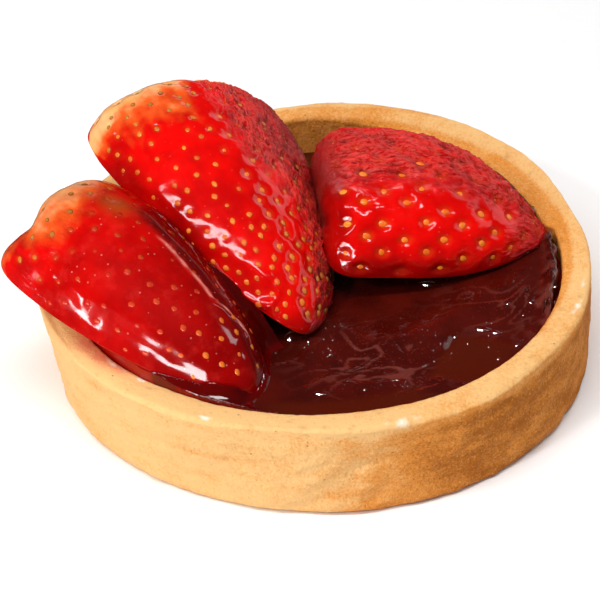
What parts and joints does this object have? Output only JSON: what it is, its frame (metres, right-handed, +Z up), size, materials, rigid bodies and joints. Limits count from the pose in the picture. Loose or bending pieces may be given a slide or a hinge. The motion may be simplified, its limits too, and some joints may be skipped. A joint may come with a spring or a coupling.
{
  "type": "chocolate strawberry tartlet",
  "caption": "Round shortcrust tartlet case with a dark chocolate filling and glazed half strawberries laid on it cut side down.",
  "frame": {"origin": "middle of the flat underside of the pastry case", "axes": "+Z up, -Y towards the viewer of the picture, +X to the viewer's right"},
  "size_m": [0.0837, 0.0806, 0.0348],
  "materials": {
    "shortcrust": "baked shortcrust, matt and sandy; paper stands in for pastry",
    "dark_chocolate": "dark chocolate, glossy; gloss plastic stands in for chocolate",
    "glazed_strawberry": "strawberry under clear glaze, wet gloss; gloss plastic stands in for fruit"
  },
  "bodies": {
    "root": {"crust": "shortcrust", "chocolate_filling": "dark_chocolate", "strawberry_left": "glazed_strawberry", "strawberry_middle": "glazed_strawberry", "strawberry_right": "glazed_strawberry"}
  },
  "joints": []
}
